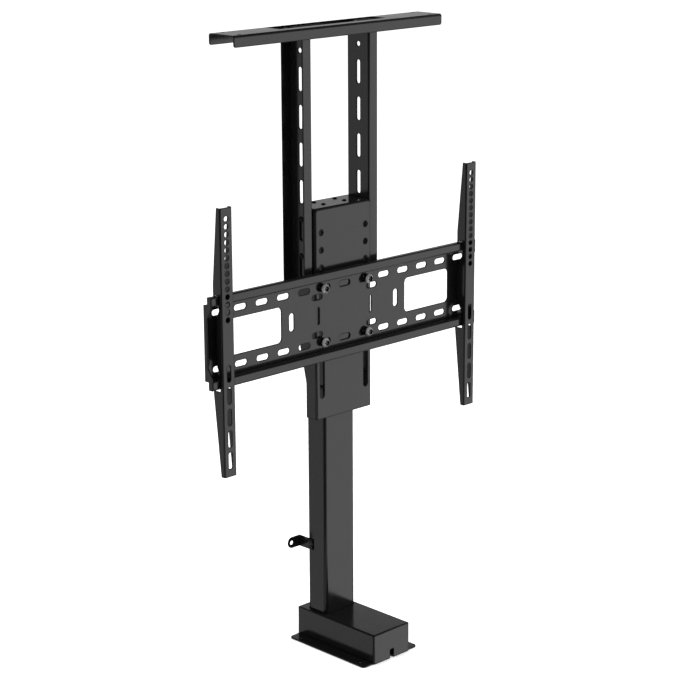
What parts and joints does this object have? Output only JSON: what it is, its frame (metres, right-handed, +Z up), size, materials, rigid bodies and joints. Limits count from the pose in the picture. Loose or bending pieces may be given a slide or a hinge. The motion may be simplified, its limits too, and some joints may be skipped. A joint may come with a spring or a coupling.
{
  "type": "tv lift mechanism",
  "caption": "Floor-standing telescopic screen lift with slotted uprights, lid bracket, slotted crossbar and two sliding screen arms.",
  "frame": {"origin": "on the floor, under the axis of the column", "axes": "+Z up, +X to the right of someone who looks at the front (the screen side), -Y towards that person"},
  "size_m": [0.626, 0.1937, 1.0875],
  "materials": {
    "black_powder_coat": "satin fine-texture powder coat",
    "dark_steel": "black oxide, satin",
    "zinc_steel": "bright zinc plating",
    "cast_aluminium": "die-cast, matte",
    "brass": "machined",
    "nylon": "moulded nylon",
    "black_plastic": "moulded black plastic",
    "circuit_board": "green solder mask"
  },
  "bodies": {
    "base": {"base_plate": "black_powder_coat", "base_cover": "black_powder_coat", "cover_screws": "zinc_steel", "outer_column": "black_powder_coat", "column_collar": "black_plastic", "column_screws": "zinc_steel", "gearbox_housing": "cast_aluminium", "gearbox_screws": "zinc_steel", "bearing_plug": "cast_aluminium", "lower_bearing": "zinc_steel", "upper_bearing": "zinc_steel", "worm_bushes": "brass", "drive_motor": "dark_steel", "motor_end_cap": "black_plastic", "motor_screws": "zinc_steel", "motor_cradle": "nylon", "control_board": "circuit_board", "board_posts": "nylon", "power_socket": "black_plastic", "cable_bracket": "black_powder_coat", "cable_bracket_rivets": "dark_steel"},
    "leadscrew": {"leadscrew": "zinc_steel", "worm_wheel": "brass", "wheel_key": "dark_steel"},
    "worm": {"worm": "dark_steel"},
    "carriage": {"inner_column": "black_powder_coat", "inner_glide": "nylon", "drive_nut": "brass", "nut_carrier": "cast_aluminium", "carrier_pins": "zinc_steel", "column_head": "cast_aluminium", "head_pins": "zinc_steel", "carriage_plate": "black_powder_coat", "cap_screws": "dark_steel", "carriage_bolts": "dark_steel", "carriage_nuts": "zinc_steel"},
    "riser": {"upright_left": "black_powder_coat", "upright_right": "black_powder_coat", "top_bracket": "black_powder_coat", "bracket_bolts": "zinc_steel", "bracket_nuts": "zinc_steel"},
    "crossbar": {"crossbar": "black_powder_coat", "crossbar_ends": "black_powder_coat", "crossbar_bolts": "zinc_steel", "bolt_collars": "black_powder_coat", "crossbar_nuts": "zinc_steel"},
    "arm_left": {"arm_left": "black_powder_coat"},
    "arm_right": {"arm_right": "black_powder_coat"}
  },
  "joints": [
    {"name": "lift", "type": "slide", "parent": "base", "child": "carriage", "axis": [0, 0, 1], "range_m": [-0.31, 0]},
    {"name": "leadscrew_turn", "type": "hinge", "parent": "base", "child": "leadscrew", "pos_m": [0, 0, 0.022], "axis": [0, 0, 1], "range_deg": [-5, 11165]},
    {"name": "worm_turn", "type": "hinge", "parent": "base", "child": "worm", "pos_m": [0.021, 0, 0.022], "axis": [0, 1, 0], "range_deg": [-133980, 60]},
    {"name": "riser_height", "type": "slide", "parent": "carriage", "child": "riser", "axis": [0, 0, 1], "range_m": [0, 0.031]},
    {"name": "crossbar_height", "type": "slide", "parent": "carriage", "child": "crossbar", "axis": [0, 0, 1], "range_m": [-0.065, 0]},
    {"name": "arm_left_slide", "type": "slide", "parent": "crossbar", "child": "arm_left", "axis": [1, 0, 0], "range_m": [-0.012, 0.2]},
    {"name": "arm_right_slide", "type": "slide", "parent": "crossbar", "child": "arm_right", "axis": [1, 0, 0], "range_m": [-0.206, 0.006]}
  ],
  "couplings": [
    {"joint": "leadscrew_turn", "follows": "lift", "rad_per_m": -628.32},
    {"joint": "worm_turn", "follows": "lift", "rad_per_m": 7539.8}
  ]
}
